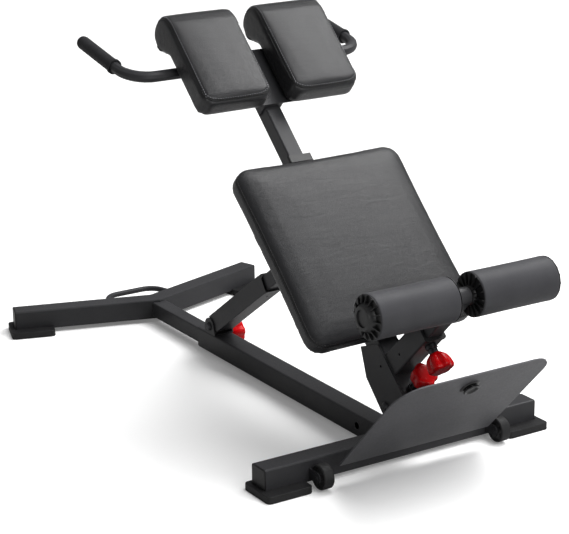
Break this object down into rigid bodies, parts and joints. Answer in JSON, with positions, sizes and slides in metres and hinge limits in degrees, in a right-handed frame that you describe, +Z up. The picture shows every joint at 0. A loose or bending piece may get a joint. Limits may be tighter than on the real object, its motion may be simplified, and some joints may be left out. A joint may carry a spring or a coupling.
{
  "type": "hyperextension bench",
  "caption": "Folding steel hyperextension bench with a padded incline seat, sliding split hip pads, side grips, foam ankle rollers and a foot plate.",
  "frame": {"origin": "on the floor, under the middle of the bench's bounding box", "axes": "+X along the floor towards the foot plate, +Y to the user's left when facing the foot plate end, +Z up"},
  "size_m": [1.4886, 0.739, 0.8682],
  "materials": {
    "powder_coat": "satin black powder coat",
    "black_zinc": "blackened steel fasteners",
    "black_plastic": "moulded black plastic",
    "black_rubber": "matte black rubber",
    "black_vinyl": "grained black upholstery vinyl",
    "grey_foam": "closed-cell foam with a fine skin",
    "red_plastic": "glossy red moulded plastic",
    "black_board": "black backed plywood"
  },
  "bodies": {
    "floor_frame": {"front_stabiliser": "powder_coat", "stabiliser_cap_left": "black_plastic", "stabiliser_cap_right": "black_plastic", "front_foot_left": "black_rubber", "front_foot_right": "black_rubber", "wheel_fork_left": "powder_coat", "wheel_fork_right": "powder_coat", "main_beam": "powder_coat", "beam_bush": "black_plastic", "strut_bracket": "powder_coat", "strut_pivot_bolt": "black_zinc", "frame_bracket": "powder_coat", "frame_pivot_bolt": "black_zinc", "beam_pin_barrel": "black_zinc"},
    "rear_base": {"rear_beam": "powder_coat", "rear_arm_left": "powder_coat", "rear_arm_right": "powder_coat", "rear_cap_left": "black_plastic", "rear_cap_right": "black_plastic", "rear_foot_left": "black_rubber", "rear_foot_right": "black_rubber", "carry_handle": "powder_coat"},
    "incline": {"incline_tube": "powder_coat", "frame_plate_left": "powder_coat", "frame_plate_right": "powder_coat", "roller_sleeve": "powder_coat", "sleeve_bush": "black_plastic", "incline_bush": "black_plastic", "strut_lug": "powder_coat", "foot_plate": "powder_coat", "foot_bumper": "black_rubber", "seat_board": "black_board", "seat_pad": "black_vinyl", "post_pin_barrel": "black_zinc", "roller_pin_barrel": "black_zinc"},
    "strut_outer": {"strut_tube": "powder_coat", "strut_bush": "black_plastic"},
    "strut_inner": {"strut_rod": "powder_coat", "strut_top_bolt": "black_zinc"},
    "hip_support": {"hip_post": "powder_coat", "hip_carrier": "powder_coat", "hip_pad_left": "black_vinyl", "hip_pad_right": "black_vinyl", "handlebar": "powder_coat", "grip_left": "black_rubber", "grip_right": "black_rubber"},
    "roller_carrier": {"roller_arm": "powder_coat", "roller_axle": "black_zinc"},
    "roller_left": {"roller_foam_left": "grey_foam", "roller_cap_left_outer": "black_plastic", "roller_cap_left_inner": "black_plastic"},
    "roller_right": {"roller_foam_right": "grey_foam", "roller_cap_right_outer": "black_plastic", "roller_cap_right_inner": "black_plastic"},
    "left_wheel": {"wheel_left": "black_rubber"},
    "right_wheel": {"wheel_right": "black_rubber"},
    "beam_pull_knob": {"beam_knob": "red_plastic"},
    "post_pull_knob": {"post_knob": "red_plastic"},
    "roller_pull_knob": {"roller_knob": "red_plastic"}
  },
  "joints": [
    {"name": "incline_fold", "type": "hinge", "parent": "floor_frame", "child": "incline", "pos_m": [0.46435, 0, 0.118], "axis": [0, -1, 0], "range_deg": [0, 18]},
    {"name": "strut_swing", "type": "hinge", "parent": "floor_frame", "child": "strut_outer", "pos_m": [-0.27665, 0, 0.079], "axis": [0, -1, 0], "range_deg": [-5.9, 0]},
    {"name": "strut_slide", "type": "slide", "parent": "strut_outer", "child": "strut_inner", "axis": [0.8151, 0, 0.5794], "range_m": [-0.1175, 0]},
    {"name": "rear_base_slide", "type": "slide", "parent": "floor_frame", "child": "rear_base", "axis": [1, 0, 0], "range_m": [0, 0.18]},
    {"name": "hip_post_slide", "type": "slide", "parent": "incline", "child": "hip_support", "axis": [-0.7273, 0, 0.6863], "range_m": [-0.038, 0.02]},
    {"name": "roller_arm_slide", "type": "slide", "parent": "incline", "child": "roller_carrier", "axis": [0.7071, 0, 0.7071], "range_m": [-0.045, 0.05]},
    {"name": "roller_left_spin", "type": "hinge", "parent": "roller_carrier", "child": "roller_left", "pos_m": [0.6706, -0.12315, 0.41061], "axis": [0, 1, 0], "continuous": true},
    {"name": "left_wheel_spin", "type": "hinge", "parent": "floor_frame", "child": "left_wheel", "pos_m": [0.52315, -0.226, 0.029], "axis": [0, 1, 0], "continuous": true},
    {"name": "roller_right_spin", "type": "hinge", "parent": "roller_carrier", "child": "roller_right", "pos_m": [0.6706, 0.12315, 0.41061], "axis": [0, 1, 0], "continuous": true},
    {"name": "right_wheel_spin", "type": "hinge", "parent": "floor_frame", "child": "right_wheel", "pos_m": [0.52315, 0.226, 0.029], "axis": [0, 1, 0], "continuous": true},
    {"name": "beam_knob_pull", "type": "slide", "parent": "floor_frame", "child": "beam_pull_knob", "axis": [0, 1, 0], "range_m": [0, 0.01], "stiffness_N_per_m": 800},
    {"name": "post_knob_pull", "type": "slide", "parent": "incline", "child": "post_pull_knob", "axis": [0.6863, 0, 0.7273], "range_m": [0, 0.01], "stiffness_N_per_m": 800},
    {"name": "roller_knob_pull", "type": "slide", "parent": "incline", "child": "roller_pull_knob", "axis": [0.7071, 0, -0.7071], "range_m": [0, 0.01], "stiffness_N_per_m": 800}
  ],
  "couplings": [
    {"joint": "strut_swing", "follows": "incline_fold", "ratio": -0.3169},
    {"joint": "strut_slide", "follows": "incline_fold", "m_per_rad": -0.3724}
  ]
}
